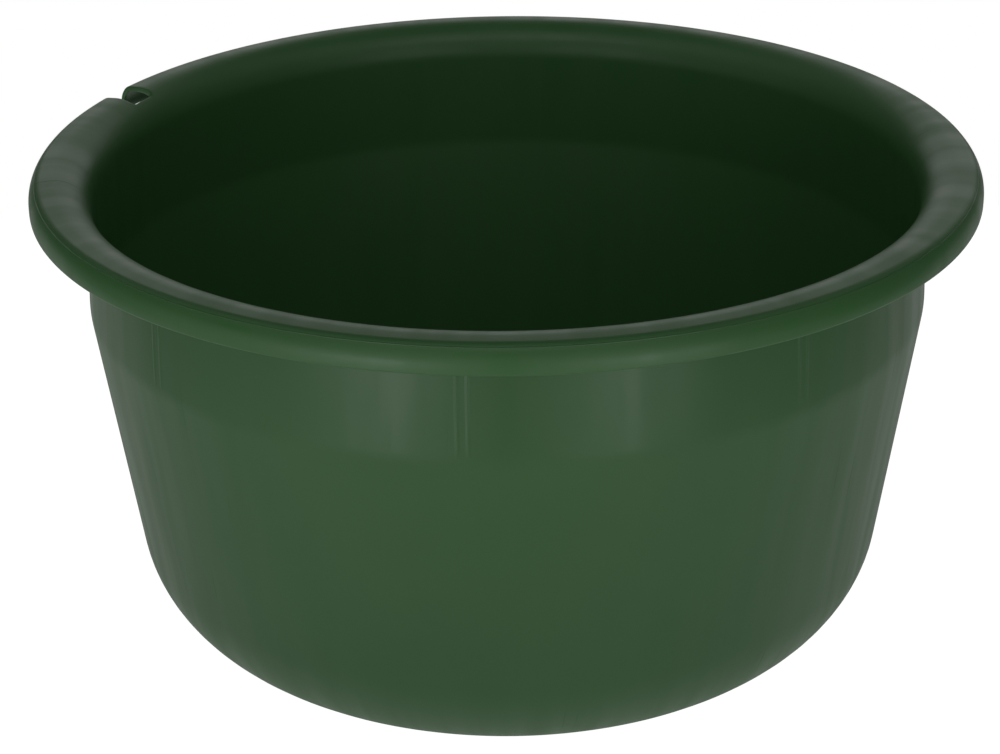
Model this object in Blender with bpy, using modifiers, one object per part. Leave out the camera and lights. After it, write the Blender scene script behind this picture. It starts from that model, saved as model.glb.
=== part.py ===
"""Round mortar mixing tub: one moulded plastic shell, 500 mm across its rim.

Metres, +Z up. The origin is the centre of the base, on the floor. The shell is a turned sheet that is
described by its inner face: floor, corner arc, conical wall, steep collar, flared rim and rim skirt. The
wall thickness is added on the sheet's other side. Thin ribs under the rim keep nested tubs apart, and a
slot through the rim takes a hook.
"""

import math

import bmesh
import bpy
from mathutils import Matrix

# Driving dimensions
RIM_RADIUS = 0.250            # widest part of the rim
HEIGHT = 0.2627               # floor to the top of the rim
WALL = 0.0032                 # thickness of the moulding
TURN_STEPS = 72

# Wall, measured on its outer face
CORNER_RADIUS = 0.0672        # arc between the base and the cone
CONE_BASE_RADIUS = 0.1944     # where the cone's line would meet the floor
CONE_SLOPE = 0.1477           # radius gained for each metre of height
COLLAR_BOTTOM_RADIUS = 0.2226
COLLAR_TOP_RADIUS = 0.2210
FOOT_WIDTH = 0.025            # flat ring that the tub stands on
RECESS_DEPTH = 0.0015         # the base inside the foot ring stands this far off the floor
RECESS_SLOPE_WIDTH = 0.004

# Rim, measured on its upper face
FLARE_RADIUS = 0.0190         # quarter round from the collar up to the rim's flat top
RIM_FLAT_RADIUS = 0.2428      # outer edge of the flat top
SKIRT_DROP = 0.0142           # from the rim's top down to its widest line
SKIRT_EDGE_RADIUS = 0.2489
SKIRT_EDGE_DROP = 0.0152      # from the rim's top down to the skirt's lower edge

# Stacking ribs, in pairs on the collar
RIB_PAIRS = 8
FIRST_PAIR_AZIMUTH = math.radians(-95.5)
RIB_SPACING = 0.0052          # centre to centre in a pair
RIB_WIDTH = 0.0020
RIB_FACE_RADIUS = 0.2230      # outer face of a rib
RIB_ROOT_RADIUS = 0.2195      # inner end, inside the wall
RIB_BOTTOM = 0.1985
RIB_TOP = 0.2530

# Hanging slot, cut through the rim from its outer edge nearly to the wall
SLOT_AZIMUTH = math.radians(153.6)
SLOT_WIDTH = 0.0210
SLOT_INNER_RADIUS = 0.2270
SLOT_CORNER_RADIUS = 0.0030
CUT_MARGIN = 0.0060           # how far the cutter passes the surface

TUB_GREEN = (0.035, 0.120, 0.032)
TUB_ROUGHNESS = 0.40


def arc(centre, radii, start, end, steps):
    """Points on an elliptical arc in the profile plane; angles in radians."""
    angles = [start + (end - start) * i / steps for i in range(steps + 1)]
    return [(centre[0] + radii[0] * math.cos(a), centre[1] + radii[1] * math.sin(a)) for a in angles]


def floor_points(foot_outer):
    """The inner face of the base, from the axis to the start of the corner arc."""
    recess_edge = foot_outer - FOOT_WIDTH
    raised = WALL + RECESS_DEPTH
    return [(0.0, raised), (recess_edge - RECESS_SLOPE_WIDTH, raised), (recess_edge, WALL)]


def wall_points():
    """The inner face from the axis up to the top of the collar."""
    lean = math.atan(CONE_SLOPE)
    arc_centre_radius = (
        CONE_BASE_RADIUS
        + CONE_SLOPE * CORNER_RADIUS * (1 - math.sin(lean))
        - CORNER_RADIUS * math.cos(lean)
    )
    inner_radius = CORNER_RADIUS - WALL
    corner = arc(
        (arc_centre_radius, CORNER_RADIUS), (inner_radius, inner_radius), -math.pi / 2, -lean, 8
    )
    shoulder_height = (COLLAR_BOTTOM_RADIUS - CONE_BASE_RADIUS) / CONE_SLOPE
    shoulder = (COLLAR_BOTTOM_RADIUS - WALL, shoulder_height)
    return floor_points(arc_centre_radius) + corner + [shoulder]


def rim_points():
    """The upper face from the collar, over the rim, to the skirt's lower edge."""
    flare_centre = (COLLAR_TOP_RADIUS - WALL + FLARE_RADIUS, HEIGHT - FLARE_RADIUS)
    flare = arc(flare_centre, (FLARE_RADIUS, FLARE_RADIUS), math.pi, math.pi / 2, 6)
    roll_centre = (RIM_FLAT_RADIUS, HEIGHT - SKIRT_DROP)
    roll = arc(roll_centre, (RIM_RADIUS - RIM_FLAT_RADIUS, SKIRT_DROP), math.pi / 2, 0.0, 5)
    return flare + roll + [(SKIRT_EDGE_RADIUS, HEIGHT - SKIRT_EDGE_DROP)]


def turned_shell(collection):
    """The sheet turned round the axis and thickened away from its inner face."""
    points = [(radius, 0.0, height) for radius, height in wall_points() + rim_points()]
    edges = [(i, i + 1) for i in range(len(points) - 1)]
    mesh = bpy.data.meshes.new("tub_shell")
    mesh.from_pydata(points, edges, [])
    shell = bpy.data.objects.new("tub_shell", mesh)
    collection.objects.link(shell)
    screw = shell.modifiers.new("Turn", "SCREW")
    screw.axis = "Z"
    screw.steps = TURN_STEPS
    screw.render_steps = TURN_STEPS
    screw.use_merge_vertices = True
    screw.merge_threshold = 0.00001
    screw.use_smooth_shade = True
    solidify = shell.modifiers.new("Thickness", "SOLIDIFY")
    solidify.thickness = WALL
    solidify.offset = -1.0
    solidify.use_even_offset = True
    return shell


def add_box(name, size, matrix, collection):
    """A box with its scale in the mesh, so that Booleans see true sizes."""
    bpy.ops.mesh.primitive_cube_add(size=1.0)
    box = bpy.context.object
    box.name = name
    box.data.transform(Matrix.Diagonal((*size, 1.0)))
    box.matrix_world = matrix
    return move_to(box, collection)


def move_to(obj, collection):
    for other in list(obj.users_collection):
        other.objects.unlink(obj)
    collection.objects.link(obj)
    return obj


def as_tool(obj):
    """Cutters and rib blanks are only operands of the Booleans."""
    obj.hide_render = True
    obj.display_type = "WIRE"
    return obj


def rib_blanks(tools):
    """Sixteen thin boxes on the collar, in evenly spaced pairs, joined into one operand."""
    depth = RIB_FACE_RADIUS - RIB_ROOT_RADIUS
    place = Matrix.Translation(
        ((RIB_FACE_RADIUS + RIB_ROOT_RADIUS) / 2, 0.0, (RIB_TOP + RIB_BOTTOM) / 2)
    )
    half_angle = RIB_SPACING / 2 / RIB_FACE_RADIUS
    blanks = []
    for pair in range(RIB_PAIRS):
        azimuth = FIRST_PAIR_AZIMUTH + pair * math.tau / RIB_PAIRS
        for side in (-1, 1):
            turn = Matrix.Rotation(azimuth + side * half_angle, 4, "Z")
            size = (depth, RIB_WIDTH, RIB_TOP - RIB_BOTTOM)
            blanks.append(add_box("rib_blank", size, turn @ place, tools))
    with bpy.context.temp_override(active_object=blanks[0], selected_editable_objects=blanks):
        bpy.ops.object.join()
    return as_tool(blanks[0])


def round_upright_edges(box, radius):
    """Rounds the four edges of a box that run along its Z."""
    shape = bmesh.new()
    shape.from_mesh(box.data)
    upright = [e for e in shape.edges if abs(e.verts[0].co.z - e.verts[1].co.z) > radius]
    bmesh.ops.bevel(shape, geom=upright, offset=radius, segments=4, profile=0.5, affect="EDGES")
    shape.to_mesh(box.data)
    shape.free()


def slot_cutter(tools):
    """A prism that opens the rim and its skirt, and stays clear of the wall."""
    outer = RIM_RADIUS + CUT_MARGIN
    bottom = HEIGHT - SKIRT_EDGE_DROP - CUT_MARGIN
    top = HEIGHT + CUT_MARGIN
    size = (outer - SLOT_INNER_RADIUS, SLOT_WIDTH, top - bottom)
    place = Matrix.Translation(((outer + SLOT_INNER_RADIUS) / 2, 0.0, (top + bottom) / 2))
    matrix = Matrix.Rotation(SLOT_AZIMUTH, 4, "Z") @ place
    cutter = add_box("slot_cutter", size, matrix, tools)
    round_upright_edges(cutter, SLOT_CORNER_RADIUS)
    return as_tool(cutter)


def add_boolean(obj, tool, operation):
    boolean = obj.modifiers.new(tool.name, "BOOLEAN")
    boolean.operation = operation
    boolean.object = tool
    boolean.solver = "EXACT"


def plastic(name, colour, roughness):
    material = bpy.data.materials.new(name)
    material.use_nodes = True
    shader = material.node_tree.nodes["Principled BSDF"]
    shader.inputs["Base Color"].default_value = (*colour, 1.0)
    shader.inputs["Roughness"].default_value = roughness
    shader.inputs["Metallic"].default_value = 0.0
    return material


def new_collection(name):
    collection = bpy.data.collections.new(name)
    bpy.context.scene.collection.children.link(collection)
    return collection


def main():
    for obj in list(bpy.data.objects):
        bpy.data.objects.remove(obj)
    tub = new_collection("mortar_mixing_tub")
    tools = new_collection("tools")
    shell = turned_shell(tub)
    add_boolean(shell, rib_blanks(tools), "UNION")
    add_boolean(shell, slot_cutter(tools), "DIFFERENCE")
    shell.data.materials.append(plastic("green_plastic", TUB_GREEN, TUB_ROUGHNESS))


main()
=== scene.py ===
"""Looks of the round mortar mixing tub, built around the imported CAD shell.

Metres, +Z up, origin at the centre of the base. The tub is one moulding, so one fine mesh stands for
the CAD node: a thin sheet is laid out in azimuth and profile length, cut by the hanging slot, thickened,
rounded along its edges, and given its stacking ribs. The rim's radius and the height are the CAD box's.
"""

import math

import bmesh
import bpy
import numpy as np
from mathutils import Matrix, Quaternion, Vector
from mathutils.geometry import delaunay_2d_cdt


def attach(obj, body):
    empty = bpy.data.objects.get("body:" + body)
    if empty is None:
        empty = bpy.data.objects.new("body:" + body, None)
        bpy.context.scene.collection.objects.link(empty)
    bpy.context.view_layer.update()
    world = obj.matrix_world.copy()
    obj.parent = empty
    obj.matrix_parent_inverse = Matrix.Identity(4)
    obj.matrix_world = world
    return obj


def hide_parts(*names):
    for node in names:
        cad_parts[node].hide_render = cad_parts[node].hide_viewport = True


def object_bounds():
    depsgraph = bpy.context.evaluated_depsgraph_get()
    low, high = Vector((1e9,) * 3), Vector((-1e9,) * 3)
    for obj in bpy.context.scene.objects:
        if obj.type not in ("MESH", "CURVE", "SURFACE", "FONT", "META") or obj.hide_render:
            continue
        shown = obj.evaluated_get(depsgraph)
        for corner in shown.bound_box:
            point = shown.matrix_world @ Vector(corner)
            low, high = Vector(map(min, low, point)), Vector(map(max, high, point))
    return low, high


NODE = "tub_shell"

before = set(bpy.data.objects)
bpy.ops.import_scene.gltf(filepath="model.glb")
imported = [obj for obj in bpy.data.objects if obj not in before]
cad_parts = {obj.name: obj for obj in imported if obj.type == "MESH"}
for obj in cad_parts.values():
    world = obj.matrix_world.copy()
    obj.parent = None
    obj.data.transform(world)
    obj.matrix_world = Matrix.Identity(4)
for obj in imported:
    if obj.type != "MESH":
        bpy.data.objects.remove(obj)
cad_low, cad_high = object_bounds()

# ---------------------------------------------------------------- sizes, in metres
RIM_RADIUS = cad_high.x
HEIGHT = cad_high.z
WALL = 0.0032
RIM_WALL = 0.0030
SKIRT_WALL = 0.0026
CORNER_RADIUS = 0.0672
CONE_BASE_RADIUS = 0.1944
CONE_SLOPE = 0.1477
COLLAR_BOTTOM_RADIUS = 0.2226
COLLAR_TOP_RADIUS = 0.2210
SHOULDER_ROUNDING = 0.040
FOOT_WIDTH = 0.025
RECESS_DEPTH = 0.0015
RECESS_SLOPE_WIDTH = 0.004
RECESS_ROUNDING = 0.010

FLARE_RADIUS = 0.0190
TOP_LEAN = math.radians(5.0)  # the rim's top falls a little outwards
TOP_CORNER_RADIUS = 0.2449    # and turns down here, first at 45 degrees
TOP_CORNER_DROP = 0.0007
TOP_ROUNDING = 0.0060
SKIRT_RADIUS = RIM_RADIUS - 0.0002
SKIRT_ROUNDING = 0.0123       # and then into the upright skirt
SKIRT_EDGE_DROP = 0.0151
LEAST_ROUNDING = 0.0008
EDGE_ROUNDING = 0.0010

RIB_PAIRS = 8
FIRST_PAIR_AZIMUTH = math.radians(-95.5)
RIB_SPACING = 0.0052
RIB_HALF_WIDTH = 0.0014
RIB_HEIGHT = 0.0003
RIB_RADIUS = 0.2222           # the collar's outer face, midway up the ribs
RIB_BOTTOM = 0.1985
RIB_BOTTOM_FADE = 0.0015
RIB_TOP = HEIGHT - 0.0070
RIB_LEAST_FACING = 0.3        # ribs rise only where the face looks outwards by this much

SLOT_AZIMUTH = math.radians(153.6)
SLOT_WIDTH = 0.0210
SLOT_INNER_RADIUS = 0.2270
SLOT_CORNER_RADIUS = 0.0030
SLOT_MOUTH_ROUNDING = 0.0020
SLOT_SKIRT_SHORTER = 0.22     # share of the skirt's length missing beside the slot
SLOT_SKIRT_REACH = 0.030

# ---------------------------------------------------------------- mesh resolution
COLUMN_STEP = math.radians(1.0)
RIB_COLUMN_STEP = 0.00030     # along the wall, beside the ribs
RIB_COLUMN_REACH = 0.0045
ROW_STEP = 0.010
ARC_STEP = math.radians(4.0)
LEAST_ARC_STEPS = 8
WINDOW_START = math.radians(147.0)
WINDOW_END = math.radians(160.0)
WINDOW_STEP = 0.0012
WINDOW_CLEARANCE = WINDOW_STEP * 0.7
WINDOW_ROW_RADIUS = 0.2225    # the window round the slot starts here on the rim's flare
EDGE_STEPS = 4


# ---------------------------------------------------------------- the turned profile
def arc_at_corner(before, corner, after, radius, count):
    """Points of the arc that rounds a corner between two straight runs."""
    to_before = (before - corner).normalized()
    to_after = (after - corner).normalized()
    half = to_before.angle(to_after) / 2
    centre = corner + (to_before + to_after).normalized() * radius / math.sin(half)
    start = corner + to_before * radius / math.tan(half) - centre
    end = corner + to_after * radius / math.tan(half) - centre
    turn = start.angle(end)
    points = []
    for i in range(count + 1):
        share = i / count
        blend = start * math.sin((1 - share) * turn) + end * math.sin(share * turn)
        points.append(centre + blend / math.sin(turn))
    return points


def upper_corners():
    """Corners of the upper face from the axis to the skirt's lower edge, each with its rounding."""
    lean = math.atan(CONE_SLOPE)
    cone_inner = CONE_BASE_RADIUS - WALL / math.cos(lean)
    foot_outer = (
        CONE_BASE_RADIUS
        + CONE_SLOPE * CORNER_RADIUS * (1 - math.sin(lean))
        - CORNER_RADIUS * math.cos(lean)
    )
    recess_edge = foot_outer - FOOT_WIDTH
    raised = WALL + RECESS_DEPTH
    shoulder_height = (COLLAR_BOTTOM_RADIUS - CONE_BASE_RADIUS) / CONE_SLOPE
    collar_lean = (COLLAR_BOTTOM_RADIUS - COLLAR_TOP_RADIUS) / (HEIGHT - FLARE_RADIUS - shoulder_height)
    collar_at_top = COLLAR_TOP_RADIUS - WALL - collar_lean * FLARE_RADIUS
    top_corner = HEIGHT - TOP_CORNER_DROP
    flare_corner = top_corner + (TOP_CORNER_RADIUS - collar_at_top) * math.tan(TOP_LEAN)
    return [
        (Vector((0.0, raised)), 0.0),
        (Vector((recess_edge - RECESS_SLOPE_WIDTH, raised)), RECESS_ROUNDING),
        (Vector((recess_edge, WALL)), RECESS_ROUNDING),
        (Vector((cone_inner + CONE_SLOPE * WALL, WALL)), CORNER_RADIUS - WALL),
        (Vector((COLLAR_BOTTOM_RADIUS - WALL, shoulder_height)), SHOULDER_ROUNDING),
        (Vector((collar_at_top, flare_corner)), FLARE_RADIUS),
        (Vector((TOP_CORNER_RADIUS, top_corner)), TOP_ROUNDING),
        (Vector((SKIRT_RADIUS, top_corner - SKIRT_RADIUS + TOP_CORNER_RADIUS)), SKIRT_ROUNDING),
        (Vector((SKIRT_RADIUS, HEIGHT - SKIRT_EDGE_DROP + EDGE_ROUNDING)), 0.0),
    ]


def upper_side(start, end):
    """Unit normal of a run of the profile, on the side of the upper face."""
    run = (end - start).normalized()
    return Vector((-run.y, run.x))


def under_corners(upper):
    """The same corners on the underside, with each run moved in by its own thickness."""
    walls = [WALL] * (len(upper) - 4) + [RIM_WALL, RIM_WALL, SKIRT_WALL]
    places = [place for place, _ in upper]
    sides = [upper_side(a, b) for a, b in zip(places, places[1:])]
    corners = [(places[0] - sides[0] * walls[0], 0.0)]
    for i in range(1, len(places) - 1):
        before, after = sides[i - 1], sides[i]
        turn = before.x * after.y - before.y * after.x
        move_x = (walls[i - 1] * after.y - walls[i] * before.y) / turn
        move_y = (walls[i] * before.x - walls[i - 1] * after.x) / turn
        change = WALL if turn > 0 else -WALL
        rounding = max(upper[i][1] + change, LEAST_ROUNDING)
        corners.append((places[i] - Vector((move_x, move_y)), rounding))
    corners.append((places[-1] - sides[-1] * walls[-1], 0.0))
    return corners


def profile_points(corners, counts):
    """Arc points and points between them, with given numbers of steps for each arc and each run."""
    arc_counts, run_counts = counts
    arcs = [[corners[0][0]]]
    for i in range(1, len(corners) - 1):
        place, rounding = corners[i]
        before, after = corners[i - 1][0], corners[i + 1][0]
        arcs.append(arc_at_corner(before, place, after, rounding, arc_counts[i - 1]))
    arcs.append([corners[-1][0]])
    points = list(arcs[0])
    for arc, count in zip(arcs[1:], run_counts):
        start, end = points[-1], arc[0]
        points += [start + (end - start) * (k + 1) / count for k in range(count)]
        points += arc[1:]
    return points


def step_counts(corners):
    """How many steps each arc and each run of the upper face needs."""
    places = [place for place, _ in corners]
    arc_counts = []
    cut = [0.0]
    for i in range(1, len(places) - 1):
        turn = math.pi - (places[i - 1] - places[i]).angle(places[i + 1] - places[i])
        arc_counts.append(max(LEAST_ARC_STEPS, math.ceil(turn / ARC_STEP)))
        cut.append(corners[i][1] * math.tan(turn / 2))
    cut.append(0.0)
    run_counts = []
    for i in range(len(places) - 1):
        run = (places[i + 1] - places[i]).length - cut[i] - cut[i + 1]
        run_counts.append(max(1, math.ceil(run / ROW_STEP)))
    return arc_counts, run_counts


class Profile:
    """Both faces of the moulding by the length along the upper face, measured from the axis."""

    def __init__(self):
        upper = upper_corners()
        counts = step_counts(upper)
        upper_path = profile_points(upper, counts)
        under_path = profile_points(under_corners(upper), counts)
        self.rows = self.lengths_of(upper_path)
        for path in (upper_path, under_path):
            path.append(path[-1] * 2 - path[-2])
        self.upper = np.array(upper_path)
        self.under = np.array(under_path)
        self.length = self.lengths_of(upper_path)
        self.skirt_top = self.length_at_radius(TOP_CORNER_RADIUS)

    @staticmethod
    def lengths_of(path):
        steps = [(b - a).length for a, b in zip(path, path[1:])]
        return np.concatenate([[0.0], np.cumsum(steps)])

    def length_at_radius(self, radius):
        """Length of the first point past the wall that has this radius."""
        on_rim = (self.upper[:, 1] > HEIGHT - FLARE_RADIUS) & (self.upper[:, 0] < SKIRT_RADIUS - 0.0001)
        return float(np.interp(radius, self.upper[on_rim, 0], self.length[on_rim]))

    def place(self, azimuth, length, depth):
        """Points in space: depth is 0 on the upper face and 1 on the underside."""
        beside = np.abs(azimuth - SLOT_AZIMUTH) * RIM_RADIUS - SLOT_WIDTH / 2
        shorter = SLOT_SKIRT_SHORTER * (1 - smooth(beside / SLOT_SKIRT_REACH))
        length = length - np.maximum(length - self.skirt_top, 0.0) * shorter
        rows = range(len(self.length))
        row = np.interp(length, self.length, rows)
        both = []
        for k in (0, 1):
            upper = np.interp(row, rows, self.upper[:, k])
            under = np.interp(row, rows, self.under[:, k])
            both.append(upper + (under - upper) * depth)
        radius, height = both
        return np.stack([radius * np.cos(azimuth), radius * np.sin(azimuth), height], axis=1)


def smooth(value):
    value = np.clip(value, 0.0, 1.0)
    return value * value * (3 - 2 * value)


# ---------------------------------------------------------------- the sheet in (azimuth, length)
def pair_azimuths():
    return [FIRST_PAIR_AZIMUTH + i * math.tau / RIB_PAIRS for i in range(RIB_PAIRS)]


def column_azimuths():
    """Azimuths of the sheet's columns: even steps, and fine ones where the ribs are."""
    even = np.arange(0, math.tau, COLUMN_STEP)
    reach = RIB_COLUMN_REACH / RIB_RADIUS
    step = RIB_COLUMN_STEP / RIB_RADIUS
    fine = []
    for pair in pair_azimuths():
        centre = pair % math.tau
        fine += list(centre + np.arange(-reach, reach + step / 2, step))
        even = even[np.abs((even - centre + math.pi) % math.tau - math.pi) > reach + step]
    return np.sort(np.concatenate([even, np.array(fine) % math.tau]))


def fillet(centre, radius, start, end, steps=6):
    """Points on an arc about a centre, between two angles in degrees."""
    angles = [math.radians(start + (end - start) * k / steps) for k in range(steps + 1)]
    return [(centre[0] + radius * math.cos(a), centre[1] + radius * math.sin(a)) for a in angles]


def spaced(start, end):
    """Points between two points, about one window step apart, without the ends."""
    run = math.dist(start, end)
    count = max(1, round(run / WINDOW_STEP))
    points = []
    for k in range(1, count):
        x = start[0] + (end[0] - start[0]) * k / count
        y = start[1] + (end[1] - start[1]) * k / count
        points.append((x, y))
    return points


def slot_outline(profile):
    """The sheet's edge round the slot, in (distance across, length), from left to right.

    It lies outside the slot by the rounding that the edge strip adds.
    """
    half = SLOT_WIDTH / 2 + EDGE_ROUNDING
    inner = profile.length_at_radius(SLOT_INNER_RADIUS) - EDGE_ROUNDING
    end = profile.rows[-1]
    mouth = SLOT_MOUTH_ROUNDING
    corner = SLOT_CORNER_RADIUS + EDGE_ROUNDING
    left_mouth = fillet((-half - mouth, end - mouth), mouth, 90, 0)
    left_corner = fillet((-half + corner, inner + corner), corner, 180, 270)
    left = left_mouth + spaced(left_mouth[-1], left_corner[0]) + left_corner
    right = [(-across, length) for across, length in reversed(left)]
    return left + spaced(left[-1], right[0]) + right


def inside(point, polygon):
    """True if a point is inside a closed polygon."""
    x, y = point
    hit = False
    for (x1, y1), (x2, y2) in zip(polygon, polygon[1:] + polygon[:1]):
        if (y1 > y) != (y2 > y) and x < (x2 - x1) * (y - y1) / (y2 - y1) + x1:
            hit = not hit
    return hit


def window_fill(loop):
    """Lattice points inside a closed loop, clear of the loop itself."""
    xs = [x for x, _ in loop]
    ys = [y for _, y in loop]
    edge = np.array(loop)
    fill = []
    for x in np.arange(min(xs) + WINDOW_STEP, max(xs), WINDOW_STEP):
        for y in np.arange(min(ys) + WINDOW_STEP, max(ys), WINDOW_STEP):
            clear = np.hypot(edge[:, 0] - x, edge[:, 1] - y).min() > WINDOW_CLEARANCE
            if clear and inside((x, y), loop):
                fill.append((x, y))
    return fill


class Net:
    """The sheet's points in (azimuth, length), its faces, and the loop along its open edge."""

    def __init__(self, profile):
        self.points = [(0.0, 0.0)]
        self.faces = []
        azimuths = column_azimuths()
        lengths = profile.rows
        start = int(np.searchsorted(azimuths, WINDOW_START))
        end = int(np.searchsorted(azimuths, WINDOW_END))
        top = int(np.searchsorted(lengths, profile.length_at_radius(WINDOW_ROW_RADIUS)))
        self.window = (start, end, top)
        self.index = {}
        for j, azimuth in enumerate(azimuths):
            for i in range(1, len(lengths)):
                if not (i > top and start < j < end):
                    self.index[i, j] = self.add(azimuth, lengths[i])
        self.add_grid_faces(len(azimuths), len(lengths))
        outline = self.add_outline(profile, azimuths)
        last = len(lengths) - 1
        count = len(azimuths)
        around = [self.index[last, (end + k) % count] for k in range(count - (end - start) + 1)]
        self.add_window_faces(around[-1], outline, around[0], last)
        self.loop = around + outline

    def add(self, azimuth, length):
        self.points.append((azimuth, length))
        return len(self.points) - 1

    def add_grid_faces(self, columns, rows):
        start, end, top = self.window
        for j in range(columns):
            following = (j + 1) % columns
            self.faces.append((0, self.index[1, j], self.index[1, following]))
            for i in range(1, rows - 1):
                if i >= top and start <= j < end:
                    continue
                corners = ((i, j), (i + 1, j), (i + 1, following), (i, following))
                self.faces.append(tuple(self.index[corner] for corner in corners))

    def add_outline(self, profile, azimuths):
        """Adds the open edge inside the window, from left to right: skirt edge, slot, skirt edge."""
        start, end, _ = self.window
        slot = slot_outline(profile)
        outline = [(SLOT_AZIMUTH + across / RIM_RADIUS, length) for across, length in slot]
        bottom = profile.rows[-1]
        gap = WINDOW_STEP / 2 / RIM_RADIUS
        left = [(a, bottom) for a in azimuths[start + 1 : end] if a < outline[0][0] - gap]
        right = [(a, bottom) for a in azimuths[start + 1 : end] if a > outline[-1][0] + gap]
        return [self.add(azimuth, length) for azimuth, length in left + outline + right]

    def add_window_faces(self, bottom_left, outline, bottom_right, last):
        """Fills the window round the slot with triangles, on the grid's own points along its sides."""
        start, end, top = self.window
        right = [self.index[i, end] for i in range(last - 1, top, -1)]
        upper = [self.index[top, j] for j in range(end, start - 1, -1)]
        left = [self.index[i, start] for i in range(top + 1, last)]
        loop = [bottom_left] + outline + [bottom_right] + right + upper + left
        flat = [(self.points[k][0] * RIM_RADIUS, self.points[k][1]) for k in loop]
        fill = window_fill(flat)
        ids = loop + [self.add(x / RIM_RADIUS, y) for x, y in fill]
        ring = [(k, (k + 1) % len(loop)) for k in range(len(loop))]
        found = delaunay_2d_cdt([Vector(p) for p in flat + fill], ring, [], 1, 1e-7)
        origins = found[3]
        for face in found[2]:
            self.faces.append(tuple(ids[origins[k][0]] for k in face))


# ---------------------------------------------------------------- the moulding
def edge_arc():
    """Depth and reach of the points that round the open edge, from the upper face to the underside."""
    share = EDGE_ROUNDING / SKIRT_WALL
    angles = [math.pi / 2 * k / EDGE_STEPS for k in range(1, EDGE_STEPS + 1)]
    upper = [(share * (1 - math.cos(a)), EDGE_ROUNDING * math.sin(a)) for a in angles]
    return upper + [(1 - depth, reach) for depth, reach in reversed(upper)]


def outward(points):
    """Unit directions that lead off the sheet, in its own plane, at each point of the edge loop."""
    flat = points * [RIM_RADIUS, 1.0]
    turns = np.array([math.tau * RIM_RADIUS, 0.0])
    following = np.roll(flat, -1, axis=0)
    following[-1] += turns
    previous = np.roll(flat, 1, axis=0)
    previous[0] -= turns
    run = following - previous
    side = np.stack([-run[:, 1], run[:, 0]], axis=1)
    return side / np.linalg.norm(side, axis=1)[:, None]


def unwrapped(points):
    """The loop's azimuths made to rise steadily past a full turn."""
    points = points.copy()
    points[:, 0] += math.tau * (points[:, 0] < points[0, 0] - 1e-9)
    return points


def moulding_mesh(profile):
    """Both faces of the sheet and the rounded strip along its open edge, as one closed mesh."""
    net = Net(profile)
    points = np.array(net.points)
    count = len(points)
    layers = [profile.place(points[:, 0], points[:, 1], depth) for depth in (0.0, 1.0)]
    faces = list(net.faces)
    faces += [tuple(k + count for k in reversed(face)) for face in net.faces]
    loop = np.array(net.loop)
    edge = unwrapped(points[loop])
    off = outward(edge)
    size = len(loop)
    rings = [loop]
    for depth, reach in edge_arc():
        moved = edge + off * reach / [RIM_RADIUS, 1.0]
        rings.append(np.arange(size) + sum(len(layer) for layer in layers))
        layers.append(profile.place(moved[:, 0], moved[:, 1], depth))
    rings.append(loop + count)
    for ring, following in zip(rings, rings[1:]):
        for k in range(size):
            m = (k + 1) % size
            faces.append((int(ring[k]), int(following[k]), int(following[m]), int(ring[m])))
    mesh = bpy.data.meshes.new("tub_moulding")
    mesh.from_pydata(np.concatenate(layers).tolist(), [], faces)
    face_out(mesh)
    return mesh


def face_out(mesh):
    """Turns all faces of a closed mesh outwards."""
    closed = bmesh.new()
    closed.from_mesh(mesh)
    bmesh.ops.recalc_face_normals(closed, faces=closed.faces)
    if closed.calc_volume(signed=True) < 0:
        bmesh.ops.reverse_faces(closed, faces=closed.faces)
    closed.to_mesh(mesh)
    closed.free()


def raise_ribs(mesh):
    """Raises soft-edged ribs on the collar's outer face."""
    count = len(mesh.vertices)
    points = np.empty(count * 3)
    normals = np.empty(count * 3)
    mesh.vertices.foreach_get("co", points)
    mesh.vertices.foreach_get("normal", normals)
    points = points.reshape(-1, 3)
    normals = normals.reshape(-1, 3)
    radius = np.maximum(np.hypot(points[:, 0], points[:, 1]), 1e-9)
    azimuth = np.arctan2(points[:, 1], points[:, 0])
    facing_out = (normals[:, :2] * points[:, :2]).sum(1) / radius > RIB_LEAST_FACING
    height = points[:, 2]
    half = RIB_SPACING / 2 / RIB_RADIUS
    share = np.zeros(count)
    for rib in [pair + side * half for pair in pair_azimuths() for side in (-1, 1)]:
        offset = np.abs((azimuth - rib + math.pi) % math.tau - math.pi) * RIB_RADIUS
        share = np.maximum(share, smooth(1 - offset / RIB_HALF_WIDTH))
    share *= smooth((height - RIB_BOTTOM) / RIB_BOTTOM_FADE) * (height < RIB_TOP)
    share *= facing_out & (radius < COLLAR_BOTTOM_RADIUS)
    points[:, :2] *= (1 + share * RIB_HEIGHT / radius)[:, None]
    mesh.vertices.foreach_set("co", points.ravel())
    mesh.update()


def build_tub():
    mesh = moulding_mesh(Profile())
    raise_ribs(mesh)
    mesh.shade_smooth()
    tub = bpy.data.objects.new("tub_moulding", mesh)
    bpy.context.scene.collection.objects.link(tub)
    return tub


# ---------------------------------------------------------------- node helpers
def add_node(tree, kind, inputs=None, **settings):
    """A node with its settings; inputs are values or other nodes' outputs, by name or number."""
    node = tree.nodes.new(kind)
    for name, value in settings.items():
        setattr(node, name, value)
    for key, value in (inputs or {}).items():
        if isinstance(value, bpy.types.NodeSocket):
            tree.links.new(value, node.inputs[key])
        else:
            node.inputs[key].default_value = value
    return node


def calculate(tree, operation, *values, clamp=False):
    """The output of a Math node."""
    inputs = dict(enumerate(values))
    return add_node(tree, "ShaderNodeMath", inputs, operation=operation, use_clamp=clamp).outputs[0]


def remap(tree, value, low, high, to_low, to_high):
    """A value moved from one range to another, with soft ends."""
    inputs = {"Value": value, "From Min": low, "From Max": high, "To Min": to_low, "To Max": to_high}
    return add_node(tree, "ShaderNodeMapRange", inputs, interpolation_type="SMOOTHSTEP").outputs[0]


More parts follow.
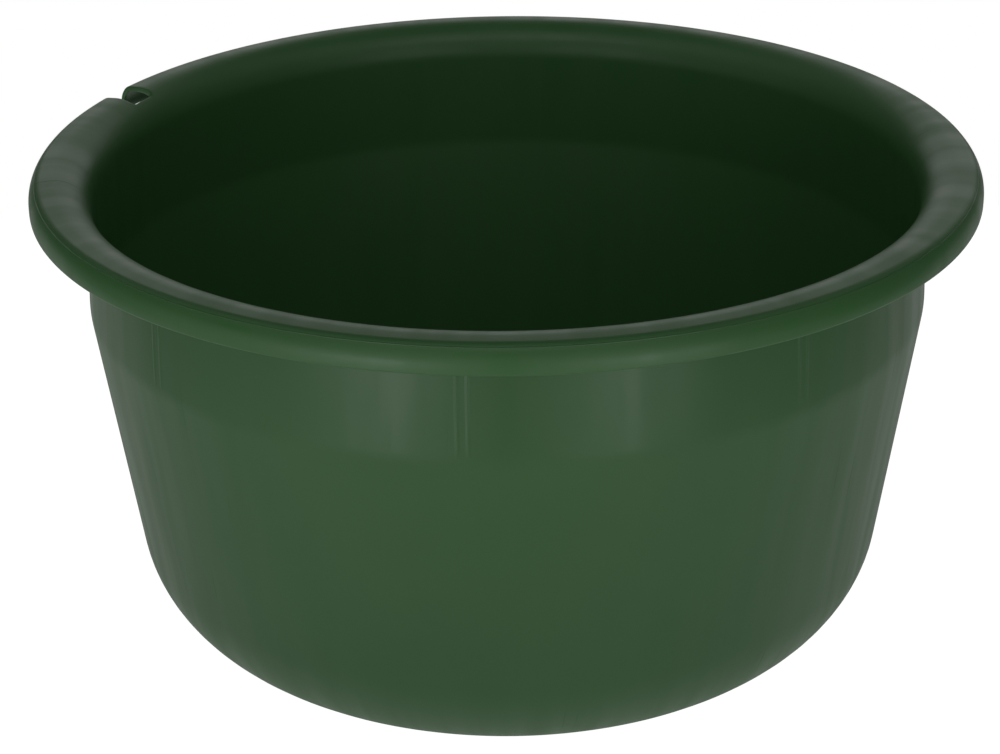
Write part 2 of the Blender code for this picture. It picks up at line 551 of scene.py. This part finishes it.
def noise(tree, vector, scale, detail=2.0, roughness=0.5):
    inputs = {"Vector": vector, "Scale": scale, "Detail": detail, "Roughness": roughness}
    return add_node(tree, "ShaderNodeTexNoise", inputs).outputs[0]


def around_and_up(tree, stretch_around, stretch_up):
    """Object coordinates wrapped round the tub: metres round the rim and metres up, each stretched."""
    place = add_node(tree, "ShaderNodeTexCoord").outputs["Object"]
    parts = add_node(tree, "ShaderNodeSeparateXYZ", {0: place}).outputs
    azimuth = calculate(tree, "ARCTAN2", parts["Y"], parts["X"])
    around = calculate(tree, "MULTIPLY", azimuth, RIM_RADIUS * stretch_around)
    up = calculate(tree, "MULTIPLY", parts["Z"], stretch_up)
    return add_node(tree, "ShaderNodeCombineXYZ", {0: around, 1: up}).outputs[0]


# ---------------------------------------------------------------- materials
TUB_GREEN = (0.0420, 0.1360, 0.0390)
TUB_GREEN_PALE = (0.0450, 0.1430, 0.0410)
TUB_ROUGHNESS = 0.40
ROUGHNESS_SPREAD = 0.05
GRAIN_SCALE = 1400.0
GRAIN_HEIGHT = 0.00002
WAVE_SCALE = 28.0
WAVE_HEIGHT = 0.00012
MOTTLE_SCALE = 14.0
FLOW_STRETCH = (60.0, 6.0)
SCRATCH_STRETCH = (420.0, 18.0)
SCRATCH_LEVELS = (0.70, 0.76)
SCRATCH_PATCH_SCALE = 9.0
SCRATCH_PATCH_LEVELS = (0.52, 0.66)
SCRATCH_HEIGHT = 0.00003
SCRATCH_ROUGHNESS = 0.12
NOISE_LEVELS = (0.3, 0.7)     # noise values that count as 0 and 1


def scratches(tree):
    """Sparse thin lines, mostly running up and down, where a tool or another tub has rubbed."""
    coords = around_and_up(tree, *SCRATCH_STRETCH)
    lines = remap(tree, noise(tree, coords, 1.0, 1.0), *SCRATCH_LEVELS, 0.0, 1.0)
    place = add_node(tree, "ShaderNodeTexCoord").outputs["Object"]
    patches = remap(tree, noise(tree, place, SCRATCH_PATCH_SCALE), *SCRATCH_PATCH_LEVELS, 0.0, 1.0)
    return calculate(tree, "MULTIPLY", lines, patches)


def tub_plastic():
    """Satin moulded polyethylene: slight mottling, fine grain, some waviness and a few scratches."""
    material = bpy.data.materials.new("green_plastic")
    material.use_nodes = True
    tree = material.node_tree
    shader = tree.nodes["Principled BSDF"]
    place = add_node(tree, "ShaderNodeTexCoord").outputs["Object"]
    marks = scratches(tree)
    mottle = remap(tree, noise(tree, place, MOTTLE_SCALE, 4.0, 0.6), *NOISE_LEVELS, 0.0, 1.0)
    colour = add_node(tree, "ShaderNodeMix", {"Factor": mottle}, data_type="RGBA")
    colour.inputs["A"].default_value = (*TUB_GREEN, 1.0)
    colour.inputs["B"].default_value = (*TUB_GREEN_PALE, 1.0)
    tree.links.new(colour.outputs["Result"], shader.inputs["Base Color"])
    flow = noise(tree, around_and_up(tree, *FLOW_STRETCH), 1.0, 3.0)
    smoothest = TUB_ROUGHNESS - ROUGHNESS_SPREAD
    roughest = TUB_ROUGHNESS + ROUGHNESS_SPREAD
    uneven = remap(tree, flow, *NOISE_LEVELS, smoothest, roughest)
    rubbed = calculate(tree, "MULTIPLY", marks, SCRATCH_ROUGHNESS)
    rough = calculate(tree, "ADD", uneven, rubbed, clamp=True)
    tree.links.new(rough, shader.inputs["Roughness"])
    grain = calculate(tree, "MULTIPLY", noise(tree, place, GRAIN_SCALE), GRAIN_HEIGHT)
    wave = calculate(tree, "MULTIPLY", noise(tree, place, WAVE_SCALE, 1.0), WAVE_HEIGHT)
    dent = calculate(tree, "MULTIPLY", marks, -SCRATCH_HEIGHT)
    relief = calculate(tree, "ADD", calculate(tree, "ADD", grain, wave), dent)
    bump = add_node(tree, "ShaderNodeBump", {"Height": relief, "Strength": 1.0, "Distance": 1.0})
    tree.links.new(bump.outputs[0], shader.inputs["Normal"])
    return material


# ---------------------------------------------------------------- studio
CAMERA_LENS = 97.4
CAMERA_DISTANCE = 5.731 * RIM_RADIUS   # from the centre of the rim
CAMERA_ELEVATION = math.radians(20.05)
CAMERA_AIM = (-0.0043, 0.0, 0.1323)
CAMERA_ROLL = math.radians(-0.68)

FLOOR_RADIUS = 0.70
FLOOR_GAP = 0.0003
FLOOR_REFLECTANCE = 0.8
FLOOR_GLOW = 0.265
FLOOR_SEEN = 1.15
FLOOR_SHADOW_SHARE = 0.10

# Soft panels: azimuth, half width, lowest and highest elevation and soft edge, in degrees, then strength
PANELS = (
    (-120.0, 5.0, -25.0, 30.0, 15.0, 0.50),    # front left box
    (-60.0, 5.0, -25.0, 30.0, 15.0, 0.55),     # front right box
    (-120.0, 5.0, -30.0, -12.0, 12.0, 2.45),   # bright foot of the front left box
    (-60.0, 5.0, -30.0, -12.0, 12.0, 2.10),    # bright foot of the front right box
    (-90.0, 20.0, 0.0, 15.0, 15.0, 0.20),      # middle of the front
    (-90.0, 45.0, 58.0, 66.0, 16.0, 0.75),     # high in front
    (85.0, 22.0, 10.0, 28.0, 14.0, 0.63),      # behind
    (90.0, 60.0, -28.0, -10.0, 10.0, 0.35),    # white paper behind, below the horizon
    (180.0, 35.0, 42.0, 62.0, 16.0, 0.20),     # high on the left
    (0.0, 35.0, 42.0, 62.0, 16.0, 0.15),       # high on the right
    (-155.0, 20.0, -20.0, 4.0, 14.0, 0.36),    # low on the left
    (-30.0, 15.0, -20.0, 4.0, 14.0, 0.08),     # low on the right
    (0.0, 180.0, -10.0, 95.0, 10.0, 0.055),    # the room itself
)


def add_camera():
    """The camera looks slightly down from the front, with a small roll."""
    data = bpy.data.cameras.new("camera")
    data.lens = CAMERA_LENS
    camera = bpy.data.objects.new("camera", data)
    bpy.context.scene.collection.objects.link(camera)
    rim_centre = Vector((0.0, 0.0, HEIGHT))
    backwards = Vector((0.0, -math.cos(CAMERA_ELEVATION), math.sin(CAMERA_ELEVATION)))
    camera.location = rim_centre + CAMERA_DISTANCE * backwards
    facing = (Vector(CAMERA_AIM) - camera.location).to_track_quat("-Z", "Y")
    roll = Quaternion((0.0, 0.0, 1.0), CAMERA_ROLL)
    camera.rotation_mode = "QUATERNION"
    camera.rotation_quaternion = facing @ roll
    bpy.context.scene.camera = camera


def add_floor():
    """A white floor. The camera sees it lit evenly, with only a trace of the tub's shadow."""
    bpy.ops.mesh.primitive_circle_add(
        vertices=96, radius=FLOOR_RADIUS, fill_type="NGON", location=(0.0, 0.0, -FLOOR_GAP)
    )
    floor = bpy.context.object
    floor.name = "floor"
    material = bpy.data.materials.new("white_floor")
    material.use_nodes = True
    tree = material.node_tree
    tree.nodes.clear()
    white = (1.0, 1.0, 1.0, 1.0)
    grey = (FLOOR_REFLECTANCE, FLOOR_REFLECTANCE, FLOOR_REFLECTANCE, 1.0)
    matte = add_node(tree, "ShaderNodeBsdfDiffuse", {"Color": grey}).outputs[0]
    glow = add_node(tree, "ShaderNodeEmission", {"Color": white, "Strength": FLOOR_GLOW}).outputs[0]
    lit = add_node(tree, "ShaderNodeAddShader", {0: matte, 1: glow}).outputs[0]
    bright = add_node(tree, "ShaderNodeEmission", {"Color": white, "Strength": FLOOR_SEEN}).outputs[0]
    shares = {"Fac": FLOOR_SHADOW_SHARE, 1: bright, 2: matte}
    seen = add_node(tree, "ShaderNodeMixShader", shares).outputs[0]
    camera = add_node(tree, "ShaderNodeLightPath").outputs["Is Camera Ray"]
    surface = add_node(tree, "ShaderNodeMixShader", {"Fac": camera, 1: lit, 2: seen}).outputs[0]
    add_node(tree, "ShaderNodeOutputMaterial", {"Surface": surface})
    floor.data.materials.append(material)


def window(tree, value, low, high, soft):
    """1 between two limits, falling softly to 0 outside them."""
    rise = remap(tree, value, low - soft, low, 0.0, 1.0)
    fall = remap(tree, value, high, high + soft, 1.0, 0.0)
    return calculate(tree, "MULTIPLY", rise, fall)


def panel_light(tree, azimuth, elevation, panel):
    """The light that one soft panel sends from a direction."""
    centre, half_width, low, high, soft, strength = panel
    turned = calculate(tree, "SUBTRACT", azimuth, math.radians(centre))
    away = calculate(tree, "ARCCOSINE", calculate(tree, "COSINE", turned))
    across = remap(tree, away, math.radians(half_width), math.radians(half_width + soft), 1.0, 0.0)
    up = window(tree, elevation, math.radians(low), math.radians(high), math.radians(soft))
    return calculate(tree, "MULTIPLY", calculate(tree, "MULTIPLY", across, up), strength)


def add_studio():
    """A dark room with soft panels round the tub, and plain white behind it for the camera."""
    world = bpy.data.worlds.new("studio")
    bpy.context.scene.world = world
    world.use_nodes = True
    tree = world.node_tree
    direction = add_node(tree, "ShaderNodeTexCoord").outputs["Generated"]
    parts = add_node(tree, "ShaderNodeSeparateXYZ", {0: direction}).outputs
    azimuth = calculate(tree, "ARCTAN2", parts["Y"], parts["X"])
    elevation = calculate(tree, "ARCSINE", parts["Z"])
    light = 0.0
    for panel in PANELS:
        light = calculate(tree, "ADD", panel_light(tree, azimuth, elevation, panel), light)
    background = tree.nodes["Background"]
    background.inputs["Color"].default_value = (1.0, 1.0, 1.0, 1.0)
    camera = add_node(tree, "ShaderNodeLightPath").outputs["Is Camera Ray"]
    shares = {"Factor": camera, "A": light, "B": 1.0}
    strength = add_node(tree, "ShaderNodeMix", shares, data_type="FLOAT")
    tree.links.new(strength.outputs["Result"], background.inputs["Strength"])


def main():
    tub = build_tub()
    tub.data.materials.append(tub_plastic())
    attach(tub, "root")
    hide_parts(NODE)
    add_floor()
    add_studio()
    add_camera()
    bpy.context.scene.view_settings.view_transform = "Standard"


main()
